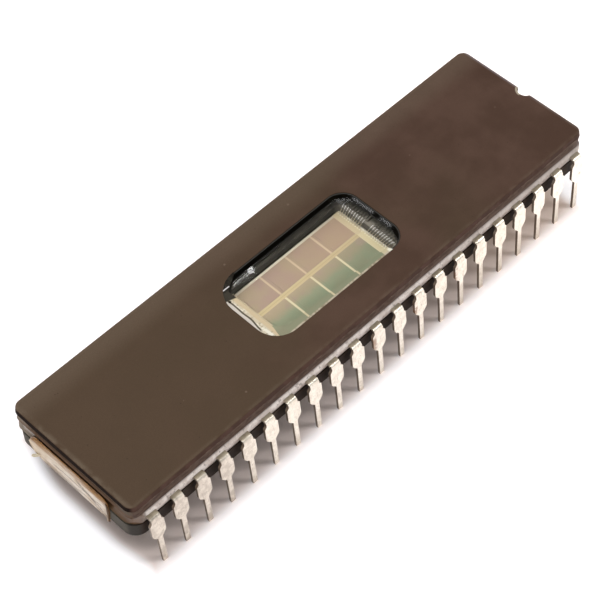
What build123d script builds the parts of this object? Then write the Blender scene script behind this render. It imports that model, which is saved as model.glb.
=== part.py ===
from build123d import *

import math
import os

# Windowed ceramic memory chip in a dual in-line package.
# A pressed ceramic base and a pressed ceramic cap are sealed round one flat lead frame by two layers
# of sealing glass. The cap has a window of clear glass over the silicon die, which bond wires join
# to the inner ends of the leads.
# Millimetres. X runs along the package towards the index notch, +Y is the row of pins 1 to 21,
# Z is up, and z = 0 is the surface that the lead tips stand on.

# Lead frame
pins_per_row = 21
lead_pitch = 2.54
lead_thickness = 0.25
lead_plane_height = 5.84  # underside of the flat frame above the lead tips
lead_neck = 1.0  # from the seal over the bend
lead_wide = 1.45
lead_narrow = 0.48
lead_reach = 0.7  # from the side of the base to the outer corner of the bend
lead_splay = 4.2  # degrees
lead_lean = 0.45  # how far the near row's last lead stands over towards the notch, from its tip up
first_leaning = 7  # the near row's first lead that leans, counted from 0 at the blank end
shoulder_height = 3.25  # where the narrow leg begins, which sets the depth in a board
shoulder_rise = 0.52
shoulder_corner = 0.14  # corner broken off the shoulder
neck_drop = 0.27  # from the underside of the frame to where the neck starts to widen
neck_flare = 0.27
bend_radius = 0.15  # inside of the bend

# Inner fingers of the lead frame
finger_root_width = 0.5
finger_tip_width = 0.2
finger_tip_inset = 0.05  # from the side of the die pocket to the outermost tip
finger_middle_gap = 1.0  # between the two innermost tips of one end
finger_knee = 0.4  # straight stretch at the outermost tip
finger_knee_step = 0.42  # how much longer that stretch gets from tip to tip
cavity_reach = 1.5  # from the die pocket to the wall of the cavity under the cap
cavity_corner = 1.0
root_depth = 0.45  # length of finger root buried behind the seal's edge

# Ceramic body
end_margin = 1.82  # from the last lead's middle to the end of the body
body_width = 14.5
base_thickness = 1.59
base_corner = 1.3
base_edge = 0.1
seal_below = 0.59  # glass between the base and the lead frame
seal_above = 0.43  # glass between the lead frame and the cap
seal_overhang = 0.1  # how far the glass creeps out over the leads
seal_corner = 1.7  # at the near row's blank end, where the glass stands back
seal_full_corner = 0.8  # at the other corners
seal_end_recess = 0.42
seal_end_hollow = 0.08  # the hollow's radius above half the height of the glass
seal_inset = 0.08
cap_band = 1.08  # lower band of the cap, below the line where the press halves met
cap_band_draft = 2.5  # degrees
cap_step = 0.05  # the lower band stands back this much under that line
cap_upper = 0.56
cap_upper_draft = 9.0  # degrees
cap_corner = 0.85
cap_edge = 0.08
notch_radius = 0.76
notch_shift = -0.28
notch_depth = 0.64

# Window
window_length = 15.1
window_width = 7.95
window_corner = 1.8
window_shift_x = 0.28
window_shift_y = -0.12
window_edge = 0.06
meniscus_width = 0.45
meniscus_depth = 0.1

# Die and what holds it
die_length = 13.25
die_width = 6.3
die_thickness = 0.55
die_shift_x = 0.12
die_shift_y = 0.08
die_clearance = 0.42
die_attach_thickness = 0.05
die_attach_spread = 0.15
pocket_depth = 0.2
pocket_corner = 0.5
block_columns = 4
block_rows = 2
block_relief = 0.02
block_margin_x = 0.65  # strip with the bond pads at each end of the die
block_margin_y = 0.2
block_gap_x = 0.2
bus_width = 0.62

# Bond wires
wire_diameter = 0.05
pad_middle_gap = 0.9
pad_inset = 0.2  # from the die's end to the middle of a pad
pad_edge = 0.1  # from the die's side to the outermost pad
wire_landing = 0.25  # from a finger's tip to the bond on it
wire_rise = 0.3
wire_loop = 0.62  # top of the loop above the die
wire_drop = 0.14

# Torn label on the end away from the notch
label_length = 9.8
label_middle = 0.5
label_thickness = 0.08
adhesive_thickness = 0.04
adhesive_border = 0.22
label_below_cap = 0.05
# Torn edges, from the label's near side: distance along it, then height above the base's underside
# for the lower edge, and depth under the top for the upper edge
label_lower_edge = ((9.8, 1.5), (9.65, 0.92), (9.2, 0.27), (7.9, 0.02), (0.45, 0.12), (0.5, -0.48),
                    (0.22, -0.38), (0, 1.42))
label_upper_edge = ((0.15, 0.35), (0.7, 0), (5.6, 0.05), (8.8, 0), (9.4, 0.5))

# Levels
seal_bottom = lead_plane_height - seal_below
base_bottom = seal_bottom - base_thickness
frame_top = lead_plane_height + lead_thickness
cap_bottom = frame_top + seal_above
cap_middle = cap_bottom + cap_band
cap_top = cap_middle + cap_upper
pocket_floor = seal_bottom - pocket_depth
die_bottom = pocket_floor + die_attach_thickness
die_top = die_bottom + die_thickness

# Outlines that follow from the sizes above
body_length = (pins_per_row - 1) * lead_pitch + 2 * end_margin
body_side = body_width / 2
seal_side = body_side + seal_overhang
lead_corner = body_side + lead_reach
leg_slope = math.tan(math.radians(lead_splay))
root_inside = seal_side - root_depth
pocket_length = die_length + 2 * die_clearance
pocket_width = die_width + 2 * die_clearance
tip_distance = pocket_length / 2 + die_shift_x + finger_root_width / 2
neck_distance = root_inside - finger_root_width
deepest_rank = (pins_per_row - 1) // 2
tip_pitch = (pocket_width / 2 - finger_tip_inset - finger_middle_gap / 2) / deepest_rank
pad_pitch = (die_width / 2 - pad_edge - pad_middle_gap / 2) / deepest_rank

os.makedirs("parts", exist_ok=True)


def save(shape, name):
    """Write one piece as its own STEP file."""
    shape.label = name
    export_step(shape, f"parts/{name}.step")


def plate(length, width, corner, bottom, height, x=0, y=0, taper=0):
    """A flat plate with rounded corners, standing on the level called bottom."""
    outline = Plane.XY.offset(bottom) * Pos(x, y) * RectangleRounded(length, width, corner)
    return extrude(outline, height, taper=taper)


def prism(points, plane, height):
    """A straight-sided solid from the corners of its outline."""
    return extrude(plane * make_face(Polyline(*points, close=True)), height)


def strip(points, half_widths):
    """Corners of a flat band that follows points, with mitred turns and its own width at each."""
    left = []
    right = []
    for i, (point, half) in enumerate(zip(points, half_widths)):
        here = Vector(*point)
        before = (here - Vector(*points[i - 1])).normalized() if i else None
        after = (Vector(*points[i + 1]) - here).normalized() if i + 1 < len(points) else None
        along = ((before or after) + (after or before)).normalized()
        mitre = 1 / along.dot(before or after)
        side = Vector(-along.Y, along.X) * half * mitre
        left.append(tuple(here + side)[:2])
        right.append(tuple(here - side)[:2])
    return left + right[::-1]


def ceramic_base():
    """Lower ceramic plate with the shallow pocket that holds the die."""
    body = plate(body_length, body_width, base_corner, base_bottom, base_thickness)
    body = chamfer(body.edges().group_by(Axis.Z)[0], base_edge)
    pocket = plate(pocket_length, pocket_width, pocket_corner, pocket_floor, pocket_depth,
                   die_shift_x, die_shift_y)
    return body - pocket


def window_outline(bottom, height, spread=0):
    """The window's outline as a solid, larger all round by spread."""
    return plate(window_length + 2 * spread, window_width + 2 * spread, window_corner + spread,
                 bottom, height, window_shift_x, window_shift_y)


def ceramic_cap():
    """Upper ceramic plate: drafted both ways from its press line, with the window and the notch."""
    upper = plate(body_length, body_width, cap_corner, cap_middle, cap_upper, taper=cap_upper_draft)
    upper = chamfer(upper.edges().group_by(Axis.Z)[-1], cap_edge)
    band = plate(body_length - 2 * cap_step, body_width - 2 * cap_step, cap_corner - cap_step,
                 cap_middle, -cap_band, taper=cap_band_draft)
    notch = Pos(body_length / 2 - notch_depth + notch_radius, notch_shift, cap_middle) * Cylinder(
        notch_radius, 2 * (cap_top - cap_bottom))
    cap = upper + band - notch - window_outline(cap_bottom, cap_top - cap_bottom)
    rim = window_outline(cap_top - window_edge, window_edge)
    mouth = loft([Plane.XY.offset(cap_top - window_edge) * window_face(0),
                  Plane.XY.offset(cap_top) * window_face(window_edge)])
    return cap - (mouth - rim)


def window_face(spread):
    """The window's outline as a flat face."""
    return Pos(window_shift_x, window_shift_y) * RectangleRounded(
        window_length + 2 * spread, window_width + 2 * spread, window_corner + spread)


def window_glass():
    """Clear glass fused into the cap, dished where it wets the ceramic."""
    top = cap_top - window_edge
    slab = window_outline(cap_bottom, top - cap_bottom)
    dish = loft([Plane.XY.offset(top - meniscus_depth) * window_face(-meniscus_width),
                 Plane.XY.offset(top) * window_face(-window_edge)])
    return slab - dish


def seal_slab(points):
    """Sealing glass with one side outline along the package, rounded at its corners."""
    length = body_length - 2 * seal_inset
    slab = prism(points, Plane.YZ.offset(-length / 2), length)
    levels = base_bottom, cap_top - base_bottom
    rounded = plate(length, 2 * seal_side, seal_corner, *levels)
    rounded += plate(length / 2, 2 * seal_side, seal_full_corner, *levels, x=length / 4)
    rounded += plate(length, seal_side, seal_full_corner, *levels, y=seal_side / 2)
    middle = (seal_bottom + cap_bottom) / 2
    radius = cap_bottom - middle + seal_end_hollow
    groove = Rot(90, 0, 0) * Cylinder(radius, 4 * body_side)
    distance = length / 2 - seal_end_recess + radius
    slab = slab & rounded
    for end in (-1, 1):
        slab -= Pos(end * distance, 0, middle) * groove
    return slab


def seal_glass_lower():
    """Glass between the base and the leads, open over the die pocket."""
    edge = body_side - seal_inset
    slab = seal_slab([(-edge, seal_bottom), (edge, seal_bottom),
                      (seal_side, lead_plane_height), (-seal_side, lead_plane_height)])
    return slab - plate(pocket_length, pocket_width, pocket_corner, seal_bottom, seal_below,
                        die_shift_x, die_shift_y)


def seal_glass_upper(leads):
    """Glass round and above the leads, with the cavity under the window."""
    edge = body_side - 2 * seal_inset
    slab = seal_slab([(-seal_side, lead_plane_height), (seal_side, lead_plane_height),
                      (seal_side, frame_top), (edge, cap_bottom),
                      (-edge, cap_bottom), (-seal_side, frame_top)])
    slab -= plate(pocket_length + 2 * cavity_reach, pocket_width + 2 * cavity_reach, cavity_corner,
                  lead_plane_height, cap_bottom - lead_plane_height, die_shift_x, die_shift_y)
    for lead in leads:
        slab -= lead
    return slab


def lead_outside(x, lean):
    """The bend and the leg of one lead of the near row, down to its tip."""
    inner_shift = lead_thickness / math.cos(math.radians(lead_splay))
    tip = lead_corner + frame_top * leg_slope
    corner = lead_corner + lead_thickness * leg_slope - inner_shift
    side = Polyline((-root_inside, frame_top), (-lead_corner, frame_top), (-tip, 0),
                    (inner_shift - tip, 0), (-corner, lead_plane_height),
                    (-root_inside, lead_plane_height), close=True)
    outline = make_face(side)
    bend_outer = outline.vertices().sort_by_distance((-lead_corner, frame_top))[0]
    outline = fillet(bend_outer, bend_radius + lead_thickness)
    bend_inner = outline.vertices().sort_by_distance((-corner, lead_plane_height))[0]
    outline = fillet(bend_inner, bend_radius)
    strap = extrude(Plane.YZ * outline, lead_wide, both=True)
    neck, wide, narrow = lead_neck / 2, lead_wide / 2, lead_narrow / 2
    shoulder_top = shoulder_height + shoulder_rise
    neck_bottom = lead_plane_height - neck_drop
    half = [(neck, frame_top), (neck, neck_bottom), (wide, neck_bottom - neck_flare),
            (wide, shoulder_top), (narrow, shoulder_height), (narrow, 0)]
    whole = half + [(-side_x, z) for side_x, z in half[::-1]]
    front = make_face(Polyline(*[(side_x + lean * z / frame_top, z) for side_x, z in whole], close=True))
    level = 0.01
    shoulders = front.vertices().filter_by_position(Axis.Y, shoulder_top - level, shoulder_top + level)
    front = chamfer(shoulders, shoulder_corner)
    blank = extrude(Plane.XZ * front, 2 * tip)
    return Pos(x, 0, 0) * (strap & blank)


def finger_place(index):
    """X of one near-row finger, the end of the package it turns to, and its rank out from the ends."""
    x = (index - (pins_per_row - 1) / 2) * lead_pitch
    end = 1 if index >= deepest_rank else -1
    return x, end, pins_per_row - 1 - index if end > 0 else index


def knee_distance(rank):
    """How far from the middle of the package the finger of this rank turns towards its tip."""
    return tip_distance + finger_knee + finger_knee_step * (deepest_rank - rank)


def passes_beside(index):
    """Whether one near-row finger has to run along the die before it can turn."""
    x, _, rank = finger_place(index)
    return abs(x) < knee_distance(rank)


def finger_route(index):
    """Points in plan of one near-row finger, from its root in the seal to its tip."""
    x, end, rank = finger_place(index)
    tip = (end * tip_distance, -(finger_middle_gap / 2 + rank * tip_pitch))
    knee = (end * knee_distance(rank), tip[1])
    root = (x, -root_inside)
    if not passes_beside(index):
        return [root, (x, -neck_distance), knee, tip]
    runs = sum(passes_beside(other) for other in range(deepest_rank, pins_per_row))
    run_pitch = (neck_distance - pocket_width / 2) / (runs + 1)
    run_y = -(pocket_width / 2 + run_pitch * (deepest_rank - rank + 1))
    return [root, (x, run_y), (knee[0], run_y), knee, tip]


def leaning(index):
    """How far one near-row lead leans: nothing at the blank end, then more and more to the notch."""
    first, last = first_leaning - 1, pins_per_row - 1
    return lead_lean * (max(index - first, 0) / (last - first)) ** 2


def near_lead(index, lean=0):
    """One whole lead of the near row: leg, shoulders, bend and inner finger in one piece."""
    route = finger_route(index)
    neck_width = (finger_root_width + finger_tip_width) / 2
    widths = [finger_root_width, neck_width] + [finger_tip_width] * (len(route) - 2)
    finger = prism(strip(route, [width / 2 for width in widths]),
                   Plane.XY.offset(lead_plane_height), lead_thickness)
    return lead_outside(route[0][0], lean) + finger


def finger_tip(index):
    """Where the wire lands on one near-row finger, and on which end."""
    tip = finger_route(index)[-1]
    return tip[0] + math.copysign(wire_landing, tip[0]), tip[1]


def silicon_die():
    """The die, with its blocks of memory cells standing a little above the wiring between them."""
    standing = (Align.CENTER, Align.CENTER, Align.MIN)
    body = Pos(die_shift_x, die_shift_y, die_bottom) * Box(
        die_length, die_width, die_thickness - block_relief, align=standing)
    block_length = ((die_length - 2 * block_margin_x - (block_columns - 1) * block_gap_x)
                    / block_columns)
    block_width = (die_width - 2 * block_margin_y - (block_rows - 1) * bus_width) / block_rows
    block = Box(block_length, block_width, block_relief, align=standing)
    blocks = GridLocations(block_length + block_gap_x, block_width + bus_width,
                           block_columns, block_rows)
    level = Pos(die_shift_x, die_shift_y, die_top - block_relief)
    for place in blocks:
        body += level * place * block
    return body


def die_attach():
    """Film of silver glass that holds the die in its pocket."""
    return plate(die_length + 2 * die_attach_spread, die_width + 2 * die_attach_spread,
                 2 * die_attach_spread, pocket_floor, die_attach_thickness, die_shift_x, die_shift_y)


def bond_wire(pad, landing):
    """One looped wire from a pad on the die down to a finger."""
    start = Vector(pad[0], pad[1], die_top - block_relief)
    stop = Vector(landing[0], landing[1], frame_top)
    across = Vector(stop.X - start.X, stop.Y - start.Y)
    peak = die_top + wire_loop
    points = [start,
              start + Vector(0, 0, wire_rise),
              Vector(start.X, start.Y, peak) + across / 2,
              stop + Vector(0, 0, wire_drop),
              stop]
    section = Plane(origin=start, z_dir=(0, 0, 1)) * RegularPolygon(wire_diameter / 2, 6)
    return sweep(section, path=Polyline(*points), transition=Transition.RIGHT)


def bond_wires(end, row):
    """The wires of one corner of the die as a group of separate solids."""
    wires = []
    for index in range(pins_per_row):
        landing_x, landing_y = finger_tip(index)
        turn = -row  # the far row is the near row turned half way round
        if landing_x * turn * end < 0:
            continue
        rank = finger_place(index)[2]
        pad_x = die_shift_x + end * (die_length / 2 - pad_inset)
        pad_y = die_shift_y + row * (pad_middle_gap / 2 + rank * pad_pitch)
        wires.append(bond_wire((pad_x, pad_y), (turn * landing_x, turn * landing_y)))
    return Compound(children=wires)


def label_outline(border):
    """Torn outline of the label on the end of the package, in Y and Z, larger at its top by border."""
    near = label_middle - label_length / 2
    top = cap_bottom - label_below_cap - adhesive_border + border
    lower = [(near + along, base_bottom + up) for along, up in label_lower_edge]
    upper = [(near + along, top - down) for along, down in label_upper_edge]
    return lower + upper


def label_layer(border, thickness, distance):
    """One layer of the label, flat against what lies behind it."""
    face = Plane(origin=(-distance, 0, 0), x_dir=(0, 1, 0), z_dir=(1, 0, 0))
    return prism(label_outline(border), face, -thickness)


def main():
    near = [near_lead(index, leaning(index)) for index in range(pins_per_row)]
    far = [Rot(0, 0, 180) * near_lead(index) for index in range(pins_per_row)]
    pins = far + near
    save(ceramic_base(), "ceramic_base")
    save(seal_glass_lower(), "seal_glass_lower")
    save(seal_glass_upper(pins), "seal_glass_upper")
    save(ceramic_cap(), "ceramic_cap")
    save(window_glass(), "window_glass")
    save(die_attach(), "die_attach")
    save(silicon_die(), "silicon_die")
    for number, lead in enumerate(pins, start=1):
        save(lead, f"lead_{number:02d}")
    for end, end_name in ((-1, "blank_end"), (1, "notch_end")):
        for row, row_name in ((-1, "near_row"), (1, "far_row")):
            save(bond_wires(end, row), f"bond_wires_{end_name}_{row_name}")
    save(label_layer(adhesive_border, adhesive_thickness, body_length / 2), "label_adhesive")
    save(label_layer(0, label_thickness, body_length / 2 + adhesive_thickness), "label_paper")


main()
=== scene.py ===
"""Looks of the windowed ceramic memory chip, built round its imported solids."""

import math

import bmesh
import bpy
from mathutils import Matrix, Vector, noise


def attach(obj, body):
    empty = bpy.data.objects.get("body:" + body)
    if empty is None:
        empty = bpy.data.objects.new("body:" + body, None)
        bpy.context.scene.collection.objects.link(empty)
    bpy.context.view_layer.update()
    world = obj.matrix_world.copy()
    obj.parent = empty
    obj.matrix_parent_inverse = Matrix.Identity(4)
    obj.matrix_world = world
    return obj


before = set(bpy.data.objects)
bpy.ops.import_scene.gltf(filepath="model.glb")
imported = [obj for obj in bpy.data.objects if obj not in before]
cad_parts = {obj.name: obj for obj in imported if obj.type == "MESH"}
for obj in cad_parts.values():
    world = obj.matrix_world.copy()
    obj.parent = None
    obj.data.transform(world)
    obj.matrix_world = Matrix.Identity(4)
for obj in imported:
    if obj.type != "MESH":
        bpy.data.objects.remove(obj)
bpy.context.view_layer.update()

MM = 0.001

# Levels of the package in millimetres above the lead tips
BASE_BOTTOM = 3.66
SEAL_BOTTOM = 5.25
FRAME_TOP = 6.09
CAP_BOTTOM = 6.52
PRESS_LINE = 7.60
CAP_TOP = 8.16
GLASS_TOP = 8.0

# Outlines in millimetres from the middle of the chip, with the notch at +X and the photo's row at -Y
BODY_END = 27.22
BODY_SIDE = 7.25
LEAD_PITCH = 2.54
NOTCH = (27.34, -0.28)  # its middle
NOTCH_RIM = 0.94  # radius of its pale rim
WINDOW = (0.28, -0.12, 15.1, 7.95, 1.8)  # middle X and Y, length, width, corner

# Pattern of the die in millimetres: where its blocks of cells begin, and the wiring between them
BLOCK_START = -6.26
BLOCK_PITCH = 3.055
CROSS_LINE = 0.2
BUS = (-0.12, 0.38)
PAD_STRIPS = (-6.05, 5.9)  # where they begin at the blank end and at the notch end
PAD_START = 0.45
PAD_PITCH = 0.26

# Where along X the wires of the notch end pass over their crowns
WIRE_CROWN = (6.88, 7.24)

# Glass: its refraction, the width of its meniscus, and how it lies where it has run over the cap
GLASS_INDEX = 1.48
MENISCUS = 0.45
RUN_SINK = 0.005
RUN_THICKNESS = 0.02
RUN_SHIFT = 0.98  # by so much the glass shows the blocks nearer to the blank end

# Small bits: the torn strand's place along X, and the middle of the solder lump
STRAND_X = -27.52
NUB_MIDDLE = (26.0, -7.98, 3.95)

# Camera's place in millimetres, and its lens
CAMERA = (-71.245, -76.067, 141.755)
LENS = 119.89
SENSOR = 36.0

# Height of the lamps that the window mirrors, in millimetres, and size of the floor in metres
MIRRORED_HEIGHT = 250
FLOOR_SIZE = 1.6


def tone(red, green, blue):
    """A colour as it looks on a screen, from 0 to 255, as the shader wants it."""
    def linear(value):
        value /= 255
        return value / 12.92 if value <= 0.04045 else ((value + 0.055) / 1.055) ** 2.4
    return linear(red), linear(green), linear(blue), 1.0


def operator(operation, swapped=False):
    """The method that adds one Math node for an operator on shader values."""
    def apply(self, other):
        pair = (other, self) if swapped else (self, other)
        return self.surface.node("ShaderNodeMath", {"operation": operation}, pair)
    return apply


class Value:
    """An output socket, so that shader maths reads as an expression."""

    def __init__(self, surface, socket):
        self.surface = surface
        self.socket = socket

    __add__ = __radd__ = operator("ADD")
    __sub__ = operator("SUBTRACT")
    __rsub__ = operator("SUBTRACT", swapped=True)
    __mul__ = __rmul__ = operator("MULTIPLY")
    __truediv__ = operator("DIVIDE")

    def __abs__(self):
        return self.surface.node("ShaderNodeMath", {"operation": "ABSOLUTE"}, (self,))


class Surface:
    """One material, with its places in millimetres from the middle of the chip."""

    def __init__(self, name, world=None):
        self.material = world or bpy.data.materials.new(name)
        self.material.use_nodes = True
        self.tree = self.material.node_tree
        self.tree.nodes.clear()
        coordinates = self.node("ShaderNodeTexCoord", output="Object")
        self.place = self.node("ShaderNodeMapping", values={"Vector": coordinates, "Scale": (1 / MM,) * 3})
        self.x, self.y, self.z = (
            self.node("ShaderNodeSeparateXYZ", values=(self.place,), output=axis) for axis in "XYZ")

    def node(self, kind, settings=(), values=(), output=0):
        """Adds a node: its settings first, then the values or links of its sockets."""
        made = self.tree.nodes.new(kind)
        for name, setting in dict(settings).items():
            if name == "stops":
                ramp = made.color_ramp
                while len(ramp.elements) < len(setting):
                    ramp.elements.new(1)
                for element, (position, colour) in zip(ramp.elements, setting):
                    element.position, element.color = position, colour
            else:
                setattr(made, name, setting)
        for key, value in values.items() if isinstance(values, dict) else enumerate(values):
            if isinstance(value, Value):
                self.tree.links.new(value.socket, made.inputs[key])
            else:
                made.inputs[key].default_value = value
        return Value(self, made.outputs[output])

    def faces(self, axis):
        """How far the surface faces along X, Y or Z."""
        normal = self.node("ShaderNodeTexCoord", output="Normal")
        return self.node("ShaderNodeSeparateXYZ", values=(normal,), output=axis)

    def vector(self, operation, *values, output=0):
        """One step of maths on places."""
        return self.node("ShaderNodeVectorMath", {"operation": operation}, values, output)

    def rise(self, value, start, end):
        """0 before start, 1 after end, smooth between them."""
        return self.node("ShaderNodeMapRange", {"interpolation_type": "SMOOTHSTEP"},
                         (value, start, end, 0, 1))

    def fraction(self, value):
        """What is left of a value after its whole number, for a pattern that repeats."""
        return self.node("ShaderNodeMath", {"operation": "FRACT"}, (value,))

    def between(self, value, low, high, soft):
        """1 between two limits, with soft edges."""
        return self.rise(value, low - soft, low + soft) * self.rise(value, high + soft, high - soft)

    def noise(self, scale, detail=2.0, roughness=0.5, stretch=(1, 1, 1), shift=0.0):
        """Cloudy noise round 0.5, with scale in spots per millimetre."""
        place = self.node("ShaderNodeMapping", values={
            "Vector": self.place, "Scale": tuple(scale * s for s in stretch), "Location": (shift,) * 3})
        return self.node("ShaderNodeTexNoise", values={
            "Vector": place, "Scale": 1.0, "Detail": detail, "Roughness": roughness})

    def specks(self, scale, size, shift=0.0):
        """Round specks with soft edges, scale per millimetre, size as a share of their spacing."""
        place = self.node("ShaderNodeMapping", values={
            "Vector": self.place, "Scale": (scale,) * 3, "Location": (shift,) * 3})
        distance = self.node("ShaderNodeTexVoronoi", values={"Vector": place, "Scale": 1.0})
        return self.rise(distance, size, size * 0.4)

    def mix(self, factor, first, second, kind="MIX"):
        """Blends two colours."""
        return self.node("ShaderNodeMix", {"data_type": "RGBA", "blend_type": kind, "clamp_factor": True},
                         {0: factor, 6: first, 7: second}, output=2)

    def ramp(self, value, *stops):
        """Colours along a value from 0 to 1."""
        return self.node("ShaderNodeValToRGB", {"stops": stops}, (value,))

    def bump(self, height, depth, strength=1.0):
        """Relief from a height of 0 to 1, with its depth in millimetres."""
        return self.node("ShaderNodeBump", values={
            "Height": height, "Distance": depth * MM, "Strength": strength})

    def cavity(self):
        """What is seen inside the cavity: dark, grey towards the notch, pale beside the die's near side."""
        colour = self.mix(self.noise(1.2, 4, 0.6), tone(66, 62, 54), tone(84, 80, 70))
        colour = self.mix(self.rise(self.x, 6.5, 7), colour, tone(136, 129, 118))
        colour = self.mix(self.rise(self.x, 7.5, 8.0), colour, tone(86, 84, 71))
        near = self.rise(self.y, -2.9, -3.1) * self.rise(abs(self.x), 7, 6.6)
        return self.mix(near, colour, tone(214, 198, 168))

    def shade(self, **values):
        """Principled shader on the sockets named by their words joined with _."""
        sockets = {name.replace("_", " "): value for name, value in values.items()}
        return self.node("ShaderNodeBsdfPrincipled", values=sockets)

    def seen(self):
        """1 for what the camera sees, straight, mirrored or through glass, and 0 for light that it gives."""
        camera, mirror, glass = (self.node("ShaderNodeLightPath", output=f"Is {kind} Ray")
                                 for kind in ("Camera", "Glossy", "Transmission"))
        return camera + mirror + glass

    def finish(self, shader, kind="Material"):
        """Ends the material, or the world, in its output."""
        output = self.tree.nodes.new(f"ShaderNodeOutput{kind}")
        self.tree.links.new(shader.socket, output.inputs["Surface"])
        return self.material


def cap_ceramic():
    """Pressed brown ceramic: mottled top, red-brown draft, greyer band under the press line; painted light
    and shade on band, rims and blank end.
    """
    s = Surface("brown cap ceramic")
    mottle = s.noise(0.22, 4, 0.55)
    cloud = s.noise(0.06, 2, shift=7)
    grain = s.noise(11, 2, 0.6)
    top = s.mix(s.rise(mottle, 0.36, 0.66), tone(77, 56, 45), tone(88, 66, 55))
    top = s.mix(s.rise(cloud, 0.42, 0.6) * s.rise(s.x, 20, 8) * 0.6, top, tone(76, 63, 46))
    top = s.mix(s.rise(s.x, 16, -27) * 0.5, top, tone(91, 73, 56))
    # paler rim of the top, widest at the blank end: edge wear with a painted highlight where the edge catches
    # the light
    edge = s.rise(abs(s.y), BODY_SIDE - 0.5, BODY_SIDE - 0.16) * 0.4
    edge = edge + s.rise(s.x, 0.65 - BODY_END, 0.2 - BODY_END)
    edge = edge + s.rise(s.x, BODY_END - 0.45, BODY_END - 0.2) * 0.7
    rim = edge * s.rise(s.noise(0.9, 3, shift=3), 0.3, 0.6)
    top = s.mix(rim * 0.5, top, tone(124, 110, 93))
    top = s.mix(s.rise(s.y, 4.2, 6.6) * 0.3, top, tone(124, 108, 92))
    far_end = s.rise(s.x, BODY_END - 0.36, BODY_END - 0.26) * (s.rise(s.y, -5, 3) * 0.5 + 0.2)
    top = s.mix(far_end, top, tone(126, 115, 118))
    # painted highlight: the notch's chamfer drawn as a pale rim on its near side
    notch = s.vector("DISTANCE", s.place, (*NOTCH, CAP_TOP), output=1)
    notch = s.rise(notch, NOTCH_RIM + 0.04, NOTCH_RIM - 0.04) * s.rise(s.y, -0.4, -0.2)
    top = s.mix(notch, top, tone(176, 164, 144))
    draft = s.mix(s.rise(s.noise(0.9, 3, shift=11), 0.42, 0.62), tone(70, 48, 38), tone(84, 60, 50))
    band = s.mix(s.rise(s.noise(1.6, 3, stretch=(1, 1, 2), shift=5), 0.4, 0.62), tone(78, 60, 50),
                 tone(98, 80, 70))
    # painted light: the band lighter towards its bottom, which slopes out to the light, more so towards the
    # notch end
    low = s.rise(s.z, PRESS_LINE - 0.5, CAP_BOTTOM + 0.1)
    band = s.mix(low * (s.rise(s.x, -22, 10) * 0.4 + 0.1), band, tone(118, 102, 94))
    # pale dust caught on the press line
    line = s.between(s.z, PRESS_LINE - 0.12, PRESS_LINE + 0.02, 0.03)
    dust = line * s.rise(s.noise(1.6, 4, 0.65, shift=21) + s.rise(s.x, 0, 24) * 0.06, 0.5, 0.6)
    side = s.mix(s.rise(s.z, PRESS_LINE - 0.05, PRESS_LINE + 0.05), band, draft)
    side = s.mix(dust * 0.7, side, tone(170, 150, 134))
    # the blank end, away from the lamps: a draft in painted shade, near black, over a greyer band painted
    # lighter towards its far and near corners and its bottom
    end = s.rise(s.faces("X"), -0.5, -0.85)
    end_band = s.mix(s.rise(s.y, 4.2, 6.5), tone(82, 64, 48), tone(150, 140, 128))
    end_band = s.mix(s.rise(s.y, -4.8, -6.2) * 0.8, end_band, tone(112, 105, 96))
    end_band = s.mix(s.rise(s.z, PRESS_LINE - 0.4, CAP_BOTTOM + 0.2) * 0.6, end_band, tone(124, 98, 78))
    end_side = s.mix(s.rise(s.z, PRESS_LINE - 0.1, PRESS_LINE + 0.02), end_band, tone(20, 8, 2))
    # painted highlight along the press line at the blank end, strongest towards its near end
    end_side = s.mix(line * s.rise(s.y, 2, -3) * 0.8, end_side, tone(150, 134, 120))
    side = s.mix(end, side, end_side)
    side = s.mix(s.rise(s.z, CAP_BOTTOM + 0.12, CAP_BOTTOM + 0.02) * 0.7, side, tone(40, 32, 27))
    colour = s.mix(s.rise(s.z, CAP_TOP - 0.1, CAP_TOP - 0.02), side, top)
    # pale specks and a few dark pits
    colour = s.mix(s.specks(0.34, 0.05, 2) * 0.5, colour, tone(132, 112, 96))
    colour = s.mix(s.specks(1.1, 0.04, 9) * 0.4, colour, tone(118, 98, 84))
    pits = s.specks(0.8, 0.05, 31)
    colour = s.mix(pits * 0.6, colour, tone(36, 26, 20))
    colour = s.mix(s.rise(grain, 0.3, 0.7) * 0.16, colour, tone(54, 40, 32))
    # the wall of the window, darkened where the glass wets it and by painted shade in the opening
    middle_x, middle_y, length, width, _ = WINDOW
    hole = s.rise(abs(s.x - middle_x), length / 2 + 0.08, length / 2 + 0.02)
    hole = hole * s.rise(abs(s.y - middle_y), width / 2 + 0.08, width / 2 + 0.02)
    wall = hole * s.rise(s.z, CAP_TOP - 0.01, CAP_TOP - 0.05)
    colour = s.mix(wall, colour, tone(33, 29, 22))
    relief = grain * 0.5 + s.noise(2.2, 3, shift=17) * 0.5 - pits
    return s.finish(s.shade(
        Base_Color=colour, Roughness=s.rise(mottle, 0.2, 0.8) * 0.1 + 0.55 + end * 0.3,
        Normal=s.bump(relief, 0.02, 0.5), Specular_IOR_Level=0.12))


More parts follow.
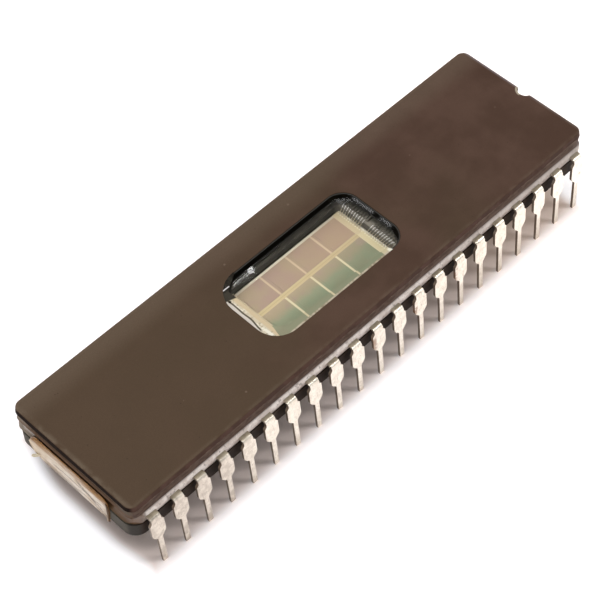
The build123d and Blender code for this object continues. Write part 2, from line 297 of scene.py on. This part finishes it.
def base_ceramic():
    """Darker ceramic of the base plate, with pale specks, its dark partly painted shade, and greyer round its
    blank end as painted light.
    """
    s = Surface("dark base ceramic")
    mottle = s.noise(0.8, 4, 0.6)
    # dark, partly painted shade from the seal and leads above it
    colour = s.mix(s.rise(mottle, 0.35, 0.65), tone(38, 25, 17), tone(56, 42, 32))
    # painted light: greyer at the blank end, out of the leads' shade, and palest towards its far corner
    end = s.rise(s.x, 1.0 - BODY_END, 0.6 - BODY_END)
    colour = s.mix(end, colour, s.mix(s.rise(s.y, -4, 6), tone(52, 49, 44), tone(128, 118, 106)))
    inside = s.rise(abs(s.y), 6.6, 6.2) * s.rise(s.z, BASE_BOTTOM + 0.2, BASE_BOTTOM + 0.3)
    colour = s.mix(inside, colour, s.cavity())
    colour = s.mix(s.specks(0.9, 0.06, 4) * 0.5, colour, tone(104, 92, 82))
    relief = s.noise(9, 2) * 0.4 + s.noise(1.8, 3, shift=6) * 0.6
    return s.finish(s.shade(
        Base_Color=colour, Roughness=0.6, Normal=s.bump(relief, 0.03, 0.6), Specular_IOR_Level=0.15))


def seal_glass():
    """Fired sealing glass: pale skin along the rows, dark in the cavity, with painted shade under the cap,
    below the leads and round the blank end.
    """
    s = Surface("fired seal glass")
    mottle = s.noise(1.2, 4, 0.6)
    skin = s.mix(s.rise(mottle, 0.38, 0.62), tone(222, 210, 202), tone(253, 245, 239))
    skin = s.mix(s.rise(s.noise(3.5, 2, shift=9), 0.56, 0.7) * 0.6, skin, tone(140, 128, 122))
    skin = s.mix(s.rise(s.x, 2, 20) * 0.6, skin, tone(188, 176, 168))
    # painted shade under the cap's lower edge
    skin = s.mix(s.rise(s.z, CAP_BOTTOM - 0.22, CAP_BOTTOM - 0.04) * 0.85, skin, tone(112, 94, 86))
    # painted shade on the lower glass below the leads, which faces down
    under = s.rise(s.z + (s.noise(0.9, 3, shift=23) - 0.5) * 0.3, SEAL_BOTTOM + 0.3, SEAL_BOTTOM - 0.05)
    skin = s.mix(under, skin, tone(92, 80, 74))
    # painted shade of the recess round the blank end, palest at its far corner
    end = s.rise(s.x, 1.6 - BODY_END, 1.0 - BODY_END)
    end_skin = s.mix(mottle, tone(84, 58, 36), tone(122, 94, 66))
    skin = s.mix(end, skin, s.mix(s.rise(s.y, 3, 6.4), end_skin, tone(150, 138, 124)))
    inside = s.rise(abs(s.y), 6.8, 6.4) * s.rise(abs(s.x), 24, 23)
    colour = s.mix(inside, skin, s.cavity())
    relief = s.noise(2.4, 3, shift=2)
    return s.finish(s.shade(
        Base_Color=colour, Roughness=s.rise(mottle, 0.3, 0.7) * 0.15 + 0.3,
        Normal=s.bump(relief, 0.05, 0.6), Coat_Weight=0.15))


def lead_metal():
    """Dull tin plate: scuffed, sheared brown edges, dark inner fingers and a few rust stains; painted shade
    on sides, tops and low legs, painted highlight towards the notch end.
    """
    s = Surface("dull tin plate")
    mottle = s.noise(1.6, 4, 0.6)
    fleck = s.noise(7, 3, 0.6, shift=4)
    colour = s.mix(s.rise(mottle, 0.35, 0.65), tone(222, 213, 198), tone(242, 235, 222))
    dull = s.mix(s.rise(mottle, 0.38, 0.62), tone(188, 178, 165), tone(218, 209, 196))
    colour = s.mix(s.rise(s.x, -12, -19), colour, dull)
    colour = s.mix(s.rise(fleck, 0.57, 0.66) * 0.4, colour, tone(170, 158, 142))
    # painted highlight: paler, near white, towards the notch end
    colour = s.mix(s.rise(s.x, 12, 26) * 0.45, colour, tone(255, 254, 246))
    # painted shade low on the legs, towards the notch end
    colour = s.mix(s.rise(s.z, 3.1, 2.3) * s.rise(s.x, 4, 12) * 0.5, colour, tone(190, 180, 166))
    scratch = s.rise(s.noise(5, 2, stretch=(1.6, 1, 0.25), shift=12), 0.63, 0.68)
    colour = s.mix(scratch * 0.4, colour, tone(150, 140, 128))
    # flat tops between the seal and the bend, tarnished, and painted darker as a painted reflection of the
    # dark above them
    top = s.rise(s.faces("Z"), 0.8, 0.97) * s.rise(s.z, FRAME_TOP - 0.08, FRAME_TOP - 0.02)
    colour = s.mix(top * 0.95, colour, s.mix(mottle, tone(126, 113, 92), tone(196, 183, 160)))
    # the sides: sheared brown edges, painted darker as painted shade
    edge = s.rise(abs(s.faces("X")), 0.5, 0.8) * s.rise(s.z, FRAME_TOP + 0.1, FRAME_TOP - 0.3)
    colour = s.mix(edge * 0.9, colour, s.mix(mottle, tone(84, 66, 50), tone(124, 104, 84)))
    inside = s.rise(abs(s.y), 7.3, 7.0)
    colour = s.mix(inside, colour, s.cavity())
    # rust on three leads of the near row: the lead's place in pitches, and the height of its stain
    rust = 0
    for lead, height in ((0, 4.4), (2, 4.3), (4, 4.5)):
        stain = s.between(s.x, lead * LEAD_PITCH - 0.95, lead * LEAD_PITCH - 0.35, 0.15)
        rust = stain * s.between(s.z, height - 0.75, height + 0.75, 0.4) * s.rise(s.y, 0, -1) + rust
    rust = rust * s.rise(s.noise(1.5, 3, shift=8), 0.4, 0.55)
    colour = s.mix(rust * 0.7, colour, tone(142, 96, 60))
    metal = 1 - edge * 0.7 - rust * 0.5 - top * 0.6
    return s.finish(s.shade(
        Base_Color=colour, Metallic=metal, Roughness=s.rise(mottle, 0.3, 0.7) * 0.12 + 0.3,
        Normal=s.bump(fleck + s.noise(2.2, 2, shift=19), 0.012, 0.7)))


def window_glass():
    """Clear glass. Lamps reach what lies under it through a plain opening for shadow rays."""
    s = Surface("clear window glass")
    # how far out a place lies from the straight inner part towards the edge of the opening
    middle_x, middle_y, length, width, corner = WINDOW
    away = s.vector("ABSOLUTE", s.vector("SUBTRACT", s.place, (middle_x, middle_y, GLASS_TOP)))
    away = s.vector("SUBTRACT", away, (length / 2 - corner, width / 2 - corner, 10))
    away = s.vector("LENGTH", s.vector("MAXIMUM", away, (0, 0, 0)), output=1)
    slope = s.rise(away, corner - MENISCUS - 0.03, corner - MENISCUS + 0.03)
    # a touch of roughness, without which the small lamps that it mirrors come out as grain
    glass = s.shade(Base_Color=(1, 1, 1, 1), Roughness=slope * 0.2 + 0.025, IOR=GLASS_INDEX,
                    Transmission_Weight=1.0)
    # the meniscus of the notch end mirrors the studio in two stretches
    lit = s.between(s.y, -0.1, 2.3, 0.3) + s.between(s.y, -2.3, -1.0, 0.3)
    lit = lit * s.between(away, corner - 0.38, corner - 0.14, 0.05)
    dull = slope * (1 - lit)
    # the inner face mirrors nothing, and the side is fused to the dark wall of the opening
    inner = s.node("ShaderNodeBsdfRefraction", values={
        "Color": (1, 1, 1, 1), "Roughness": 0.0, "IOR": GLASS_INDEX})
    dull = dull + s.rise(s.z, CAP_BOTTOM + 0.2, CAP_BOTTOM + 0.1)
    glass = s.node("ShaderNodeMixShader", values=(dull, glass, inner))
    mottle = s.noise(1.4, 3)
    # painted shade: the side and the outermost rim are an opaque dark sheet, like the wall of the opening
    fused = s.shade(Base_Color=s.mix(mottle, tone(24, 21, 16), tone(44, 39, 30)), Roughness=0.5)
    side = s.rise(abs(s.faces("Z")), 0.5, 0.4) + s.rise(away, corner - 0.12, corner - 0.07)
    glass = s.node("ShaderNodeMixShader", values=(side, glass, fused))
    clear = s.node("ShaderNodeBsdfTransparent", values=((0.92, 0.93, 0.92, 1),))
    shadow = s.node("ShaderNodeLightPath", output="Is Shadow Ray")
    return s.finish(s.node("ShaderNodeMixShader", values=(shadow, glass, clear)))


def silicon():
    """The die: eight blocks of cells with thin-film colours, the bus, cross lines and pad strips."""
    s = Surface("patterned silicon")
    x, y = s.x, s.y
    film = s.noise(0.6, 3, shift=3) - 0.5
    patch = s.noise(0.8, 2, shift=14)
    # the far row is tan with pink patches, the near row turns from tan to green
    far_block = s.mix(s.rise(patch, 0.3, 0.7), tone(171, 152, 126), tone(169, 144, 129))
    far_block = s.mix(s.rise(x, -6, 6) * 0.6, far_block, tone(170, 143, 119))
    turn = 0 - y / 3 + film * 0.35 + s.rise(x, 3, 7) * 0.12
    near_block = s.ramp(turn, (0.08, tone(174, 155, 129)), (0.3, tone(166, 151, 124)),
                        (0.52, tone(143, 148, 120)), (0.8, tone(135, 139, 111)), (0.95, tone(138, 135, 109)))
    near_block = s.mix(s.rise(x, -4, 8) * 0.55, near_block, tone(130, 130, 106))
    green = s.rise(patch, 0.46, 0.62) * s.rise(turn, 0.35, 0.6)
    near_block = s.mix(green * 0.25, near_block, tone(124, 144, 116))
    pink = s.rise(s.noise(0.9, 2, shift=41), 0.5, 0.66) * s.rise(turn, 0.5, 0.3)
    near_block = s.mix(pink * 0.4, near_block, tone(164, 138, 130))
    far = s.rise(y, 0.1, 0.2)
    colour = s.mix(far, near_block, far_block)
    # wiring between the blocks
    column = s.fraction((x - BLOCK_START) / BLOCK_PITCH)
    half = 0.5 - CROSS_LINE / 2 / BLOCK_PITCH
    cross = s.rise(abs(column - 0.5), half - 0.006, half + 0.006)
    colour = s.mix(cross, colour, s.mix(far, tone(214, 202, 167), tone(202, 180, 150)))
    bus = s.mix(s.rise(x, -6, 7), tone(203, 184, 142), tone(192, 172, 135))
    bus = s.mix(s.between(y, 0.1, 0.16, 0.02) * 0.4, bus, tone(160, 140, 100))
    colour = s.mix(s.between(y, *BUS, 0.02), colour, bus)
    middle = s.rise(abs(x + 0.5), 7, 2)
    far_edge = s.mix(middle, tone(188, 176, 156), tone(226, 216, 194))
    colour = s.mix(s.rise(y, 2.97, 3.02), colour, far_edge)
    colour = s.mix(s.rise(y, -2.86, -2.9), colour, tone(158, 148, 128))
    # pad strips at both ends
    strip = s.mix(s.rise(x, -6.35, -6.42), tone(213, 193, 156), tone(206, 191, 163))
    blank_strip, notch_strip = PAD_STRIPS
    colour = s.mix(s.rise(x, blank_strip + 0.02, blank_strip - 0.02), colour, strip)
    strip = s.mix(far, tone(211, 197, 158), tone(202, 185, 150))
    rim = s.mix(s.rise(patch, 0.4, 0.6), tone(190, 177, 152), tone(228, 222, 204))
    strip = s.mix(s.rise(x, 6.54, 6.6), strip, rim)
    row = s.fraction((abs(y) - PAD_START) / PAD_PITCH + 0.5)
    pad = s.between(x, 6.4, 6.52, 0.02) * s.rise(abs(row - 0.5), 0.32, 0.24)
    strip = s.mix(pad * 0.7, strip, tone(228, 222, 200))
    colour = s.mix(s.rise(x, notch_strip - 0.02, notch_strip + 0.02), colour, strip)
    wall = s.rise(s.faces("Z"), 0.6, 0.4)
    colour = s.mix(wall, colour, tone(176, 166, 146))
    return s.finish(s.shade(Base_Color=colour, Metallic=0.25, Roughness=0.32))


def die_attach_film():
    """Fired silver glass under the die."""
    s = Surface("silver die attach")
    mottle = s.noise(4, 3)
    colour = s.mix(mottle, tone(120, 116, 108), tone(170, 164, 152))
    return s.finish(s.shade(Base_Color=colour, Metallic=0.6, Roughness=0.5, Normal=s.bump(mottle, 0.02)))


def wire_metal():
    """Bond wires: their crowns catch the light at the notch end, their legs are in shade."""
    s = Surface("drawn aluminium wire")
    draw = s.noise(20, 2, stretch=(0.2, 1, 1))
    crown = s.between(s.x, *WIRE_CROWN, 0.02)
    leg = s.mix(s.rise(s.x, 6.74, 6.8), tone(206, 192, 160), tone(170, 163, 150))
    leg = s.mix(s.rise(s.x, 7.2, 7.3), leg, tone(92, 88, 78))
    colour = s.mix(crown, leg, s.mix(draw, tone(238, 238, 232), tone(252, 252, 250)))
    return s.finish(s.shade(Base_Color=colour, Metallic=0.1, Roughness=0.4))


def label_paper():
    """Torn, yellowed paper: pale, creased grey along its middle with painted shade in the creases, adhesive
    come through along its top edge.
    """
    s = Surface("torn aged paper")
    fibre = s.noise(3.2, 4, 0.65, stretch=(1, 0.35, 1.4))
    wander = (s.noise(0.6, 2) - 0.5) * 0.8
    colour = s.mix(s.rise(fibre, 0.35, 0.65), tone(232, 222, 206), tone(255, 250, 240))
    colour = s.mix(s.rise(s.y, 0, 5.5) * 0.4, colour, tone(236, 214, 180))
    colour = s.mix(s.rise(s.noise(0.7, 3, shift=5), 0.52, 0.68) * 0.35, colour, tone(210, 184, 148))
    golden = s.rise(s.z + wander * 0.6, 5.5, 5.95) * (s.rise(abs(s.y - 0.8), 1, 3.6) * 0.4 + 0.6)
    colour = s.mix(golden * 0.85, colour, tone(158, 114, 58))
    crease = s.rise(abs(s.z - 4.9 + s.y * 0.05 - wander), 0.1, 0.02) * s.rise(abs(s.y + 0.5), 3.4, 2.6)
    second = s.rise(abs(s.z - 4.3 - s.y * 0.04 + wander), 0.07, 0.02) * s.rise(abs(s.y + 2), 1.8, 1.0)
    crease = crease + second * 0.8
    # a torn fold runs down to the near end, painted grey as shade, and the lower margin is in painted shade
    fold = s.between(s.z - s.y * 0.42 - wander * 0.4, 5.55, 5.95, 0.14) * s.between(s.y, -4.0, -0.6, 0.5)
    colour = s.mix(fold * s.rise(s.noise(1.6, 3, shift=15), 0.35, 0.55) * 0.75, colour, tone(118, 108, 104))
    margin = s.rise(s.z, 4.5, 3.95) * s.between(s.y, -0.8, 3.6, 0.4)
    colour = s.mix(margin * 0.5, colour, tone(112, 102, 96))
    colour = s.mix(s.rise(s.y, 3.4, 5.2) * s.rise(s.z, 5.0, 5.8) * 0.35, colour, tone(120, 92, 60))
    # painted shade in the creases
    colour = s.mix(crease * 0.55, colour, tone(118, 108, 104))
    # the near end is folded and grey, with a brown stain under it
    colour = s.mix(s.rise(s.y, -3.6, -4.1) * 0.5, colour, tone(176, 168, 158))
    stain = s.rise(s.z, 4.5, 3.9) * s.rise(s.y, -2.4, -3.6)
    colour = s.mix(stain * 0.5, colour, tone(140, 104, 66))
    colour = s.mix(s.rise(s.y, -4.05, -4.15), colour, tone(98, 79, 62))
    relief = fibre * 0.6 + crease
    return s.finish(s.shade(
        Base_Color=colour, Roughness=0.85, Normal=s.bump(relief, 0.08), Specular_IOR_Level=0.2))


def label_adhesive():
    """Old adhesive: tan to dark brown, shiny in places."""
    s = Surface("aged brown adhesive")
    mottle = s.noise(1.1, 4, 0.6)
    colour = s.ramp(mottle, (0.35, tone(112, 72, 36)), (0.5, tone(168, 122, 68)), (0.66, tone(92, 58, 32)))
    return s.finish(s.shade(Base_Color=colour, Roughness=0.4, Normal=s.bump(mottle, 0.05)))


def dress_solids():
    """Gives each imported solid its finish."""
    finishes = {
        "ceramic_cap": cap_ceramic(), "ceramic_base": base_ceramic(), "window_glass": window_glass(),
        "silicon_die": silicon(), "die_attach": die_attach_film(), "label_paper": label_paper(),
        "label_adhesive": label_adhesive()}
    seal, tin, wire = seal_glass(), lead_metal(), wire_metal()
    for name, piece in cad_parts.items():
        if name.startswith("lead_"):
            finish = tin
        elif name.startswith("bond_wires"):
            finish = wire
        elif name.startswith("seal_glass"):
            finish = seal
        else:
            finish = finishes[name]
        piece.data.materials.clear()
        piece.data.materials.append(finish)


def add(name, data):
    """Puts a mesh, lamp or camera in the scene."""
    holder = bpy.data.objects.new(name, data)
    bpy.context.scene.collection.objects.link(holder)
    return holder


def plate(outline, thickness, rounded=()):
    """A flat plate in millimetres: an outline, some of its corners rounded, drawn out by its thickness."""
    mesh = bmesh.new()
    corners = [mesh.verts.new(point) for point in outline]
    mesh.faces.new(corners)
    for corner, radius, segments in rounded:
        bmesh.ops.bevel(mesh, geom=[corners[corner]], offset=radius, offset_type="OFFSET", segments=segments,
                        profile=0.5, affect="VERTICES", material=-1)
    raised = bmesh.ops.extrude_face_region(mesh, geom=list(mesh.faces))
    bmesh.ops.translate(mesh, vec=thickness,
                        verts=[vert for vert in raised["geom"] if isinstance(vert, bmesh.types.BMVert)])
    return mesh


def keep(name, mesh, finish):
    """Makes a new piece of the chip from a bmesh in millimetres."""
    bmesh.ops.scale(mesh, vec=(MM,) * 3, verts=mesh.verts)
    bmesh.ops.recalc_face_normals(mesh, faces=mesh.faces)
    data = bpy.data.meshes.new(name)
    mesh.to_mesh(data)
    mesh.free()
    data.materials.append(finish)
    piece = add(name, data)
    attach(piece, "root")


def glass_over_edge():
    """Window glass run over the cap at its blank end and near edge, painted with what shows in it, including
    a painted glint and a painted highlight.
    """
    s = Surface("run window glass")
    x, y = s.x, s.y
    wave = (s.noise(0.9, 2, shift=8) - 0.5) * 0.12
    streak = s.noise(3, 3, 0.6, stretch=(1, 0.3, 1), shift=2)
    strip = s.mix(s.rise(x, -7.36, -7.42), tone(213, 193, 158), tone(214, 201, 174))
    strip = s.mix(s.rise(streak, 0.5, 0.64) * s.rise(x, -7.3, -7.45), strip, tone(240, 234, 216))
    dim = s.rise(s.noise(4, 3, shift=12), 0.54, 0.66) * s.rise(x, -7.2, -7.5)
    strip = s.mix(dim * 0.6, strip, tone(158, 140, 110))
    block = s.mix(s.rise(y, -2.6, -3.5), tone(152, 154, 126), tone(146, 144, 118))
    colour = s.mix(s.rise(x + s.rise(y, -2.4, -3.7) * 0.25, -6.98, -7.03), block, strip)
    # along the near edge: the last of the blocks with their cross lines, then a thin pale line
    column = s.fraction((x + RUN_SHIFT - BLOCK_START) / BLOCK_PITCH)
    near = s.mix(s.rise(x, -5, 5), tone(144, 145, 118), tone(136, 141, 114))
    near = s.mix(s.rise(abs(column - 0.5), 0.465, 0.475), near, tone(206, 194, 158))
    edge = s.mix(s.rise(streak, 0.35, 0.6), tone(150, 138, 116), tone(196, 184, 162))
    near = s.mix(s.rise(x, 4.82, 4.88), near, tone(203, 190, 155))
    near = s.mix(s.rise(y, -3.98, -4.04), near, edge)
    near = s.mix(s.specks(1.2, 0.12, 5) * s.rise(y, -4.0, -4.06), near, tone(84, 74, 58))
    colour = s.mix(s.rise(x, -6.7, -6.1), colour, near)
    colour = s.mix(s.rise(x, 5.3, 5.5) * s.rise(y, -3.7, -3.9), colour, tone(236, 232, 216))
    # the outer bead of glass, a painted highlight, behind a thin dark line
    bend = x - wave + s.rise(y, -0.6, -2.6) * 0.25
    bead = s.rise(bend, -7.78, -7.86) * s.rise(y, -2.6, -2.3)
    colour = s.mix(bead, colour, s.mix(streak, tone(190, 180, 168), tone(226, 218, 208)))
    colour = s.mix(s.between(bend, -7.81, -7.65, 0.03) * s.rise(y, -2.4, -2.0), colour, tone(96, 86, 72))
    eye = s.vector("DISTANCE", s.place, (-7.7, 1.84, CAP_TOP), output=1)
    colour = s.mix(s.rise(eye, 0.16, 0.1), colour, tone(40, 34, 26))
    # past the die the dark cavity shows
    shade = s.mix(s.rise(streak, 0.4, 0.6), tone(30, 25, 18), tone(46, 42, 34))
    shade = s.mix(s.rise(y, 2.9, 2.7) * 0.7, shade, tone(66, 61, 52))
    colour = s.mix(s.rise(y + (x + 7.5) * 0.3, 1.85, 2.0), colour, shade)
    # painted glint: the line of light mirrored from the window frame lamp, carried on over the run glass
    glint = s.between(y, 3.04, 3.14, 0.03) * s.between(x, -7.3, -6.6, 0.05)
    colour = s.mix(glint, colour, tone(228, 222, 222))
    finish = s.finish(s.shade(Base_Color=colour, Roughness=streak * 0.1 + 0.2, Specular_IOR_Level=0.4))
    outline = ((-8.06, 3.92), (-8.1, -4.17), (5.78, -4.17), (5.56, -3.66), (-5.9, -3.4),
               (-6.7, -2.8), (-7.0, -2.4), (-7.0, 2.75), (-5.3, 3.78), (-5.3, 3.92))
    mesh = plate([(*point, CAP_TOP - RUN_SINK) for point in outline], (0, 0, RUN_THICKNESS),
                 rounded=((0, 2.7, 8), (1, 2.3, 8)))
    keep("glass_over_edge", mesh, finish)


def seal_in_corner():
    """Sealing glass that fills the far corner of the blank end between base and cap."""
    outline = ((-27.0, 6.95), (-27.0, 3.9), (-26.5, 4.2), (-26.4, 6.4), (-26.2, 6.95))
    mesh = plate([(*point, SEAL_BOTTOM) for point in outline], (0, 0, CAP_BOTTOM - SEAL_BOTTOM),
                 rounded=((0, 0.88, 6),))
    keep("seal_in_corner", mesh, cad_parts["seal_glass_upper"].data.materials[0])


def paper_fibre():
    """Pale strand of torn paper at the label's far lower corner."""
    s = Surface("pale paper fibre")
    colour = s.mix(s.noise(2, 3), tone(196, 184, 150), tone(246, 242, 222))
    finish = s.finish(s.shade(Base_Color=colour, Roughness=0.9))
    outline = ((5.32, 3.0), (5.2, 3.42), (4.85, 3.86), (4.5, 4.22),
               (4.0, 4.62), (4.1, 4.28), (4.62, 3.62), (5.0, 3.22))
    mesh = plate([(STRAND_X, *point) for point in outline], (0.05, 0, 0))
    keep("label_fibre", mesh, finish)


def solder_nub():
    """Dull lump of solder on the shoulder of the last lead of the near row."""
    s = Surface("dull solder")
    colour = s.mix(s.noise(3, 3), tone(150, 146, 122), tone(214, 212, 196))
    finish = s.finish(s.shade(Base_Color=colour, Roughness=0.6))
    mesh = bmesh.new()
    bmesh.ops.create_icosphere(mesh, subdivisions=2, radius=0.2)
    for vert in mesh.verts:
        vert.co *= 1 + 0.3 * noise.noise(vert.co * 9)
    bmesh.ops.scale(mesh, vec=(1.1, 0.7, 1.3), verts=mesh.verts)
    bmesh.ops.translate(mesh, vec=NUB_MIDDLE, verts=mesh.verts)
    keep("solder_nub", mesh, finish)


def stage():
    """White floor under the lead tips that keeps the chip's shadow, with a painted shadow in its glow, and
    the light from round the studio.
    """
    mesh = bmesh.new()
    bmesh.ops.create_grid(mesh, x_segments=1, y_segments=1, size=FLOOR_SIZE)
    data = bpy.data.meshes.new("floor")
    mesh.to_mesh(data)
    mesh.free()
    add("floor", data)
    s = Surface("white studio floor")
    # the backdrop clips to white a little way out from the chip, as it does in the photo
    # painted shadow: the glow is held back near the chip, which darkens and tightens its shadow
    outside = s.rise(abs(s.y), BODY_SIDE + 0.25, BODY_SIDE + 2.75)
    along = abs(s.x) + s.rise(s.y, 2, 9) * 1.2 + s.rise(s.y, -4, -8) * 0.4 + s.rise(s.x, 20, 25) * 1.2
    outside = s.node("ShaderNodeMath", {"operation": "MAXIMUM"}, (outside, s.rise(along, 26.5, 27.9)))
    glow = s.mix(outside, (0, 0, 0, 1), (0.45, 0.52, 0.58, 1))
    # painted light: a warmer extra glow towards the notch end lightens the shadow there
    glow = s.mix(s.rise(s.x, 2, 24), glow, s.mix(1.0, glow, (0.12, 0.08, 0.05, 1), "ADD"))
    glow = s.mix(s.seen(), (0, 0, 0, 1), glow)
    data.materials.append(s.finish(s.shade(
        Base_Color=(0.93, 0.80, 0.745, 1), Roughness=1.0, Specular_IOR_Level=0.0,
        Emission_Color=glow, Emission_Strength=1.0)))

    world = bpy.data.worlds.new("studio")
    bpy.context.scene.world = world
    s = Surface("studio", world)
    direction = s.node("ShaderNodeTexCoord", output="Generated")
    height = s.node("ShaderNodeSeparateXYZ", values=(direction,), output="Z")
    walls = s.mix(s.rise(height, 0.28, 0.62), (1, 1, 1, 1), (0.2, 0.195, 0.185, 1))
    around = s.mix(s.seen(), (0.3, 0.3, 0.3, 1), walls)
    s.finish(s.node("ShaderNodeBackground", values=(around,)), "World")


def softbox(name, direction, distance, size, power):
    """Square area lamp that looks at the chip from a direction, in metres and watts."""
    lamp = bpy.data.lights.new(name, "AREA")
    lamp.size = size
    lamp.energy = power
    towards = Vector(direction).normalized()
    add(name, lamp).matrix_world = (Matrix.Translation(towards * distance)
                                    @ towards.to_track_quat("Z", "Y").to_matrix().to_4x4())


def glint(name, x, y, length, width, turn, radiance):
    """Long lamp that the flat glass mirrors to the camera, with its place, size and turn on the glass."""
    mirror = Vector((CAMERA[0], CAMERA[1], 2 * GLASS_TOP - CAMERA[2]))
    spot = Vector((x, y, GLASS_TOP))
    stretch = 1 + MIRRORED_HEIGHT / (GLASS_TOP - mirror.z)
    lamp = bpy.data.lights.new(name, "AREA")
    lamp.shape = "RECTANGLE"
    lamp.size, lamp.size_y = length * stretch * MM, width * stretch * MM
    lamp.energy = radiance * math.pi * lamp.size * lamp.size_y
    add(name, lamp).matrix_world = (Matrix.Translation((mirror + (spot - mirror) * stretch) * MM)
                                    @ Matrix.Rotation(math.radians(turn), 4, "Z"))


def camera():
    """Camera solved from the leads and edges in the photo."""
    lens = bpy.data.cameras.new("camera")
    lens.sensor_width = SENSOR
    lens.lens = LENS
    lens.clip_start = 0.01
    holder = add("camera", lens)
    right = Vector((0.705604, -0.707825, -0.033257))
    down = Vector((-0.580967, -0.550998, -0.599064))
    ahead = Vector((0.405709, 0.442024, -0.80001))
    turn = Matrix((right, -down, -ahead)).transposed()
    holder.matrix_world = Matrix.Translation(Vector(CAMERA) * MM) @ turn.to_4x4()
    bpy.context.scene.camera = holder


bpy.context.scene.view_settings.view_transform = "Standard"
camera()
stage()
softbox("overhead box", (-0.14, 0.1, 1), 0.6, 0.34, 1.8)
softbox("key box", (0.7, -0.65, 1.05), 0.5, 0.14, 0.6)
softbox("far box", (0.02, 0.42, 1), 0.6, 0.14, 0.2)
softbox("end box", (-1, -0.15, 0.12), 0.5, 0.3, 0.4)
glint("window mirror", -4.05, 3.12, 0.75, 0.5, 56, 16)
glint("meniscus mirror", 6.85, 2.74, 1.4, 0.18, -44, 3.5)
glint("window frame mirror", -5.4, 2.98, 1.7, 0.1, -1, 18)
dress_solids()
glass_over_edge()
seal_in_corner()
paper_fibre()
solder_nub()
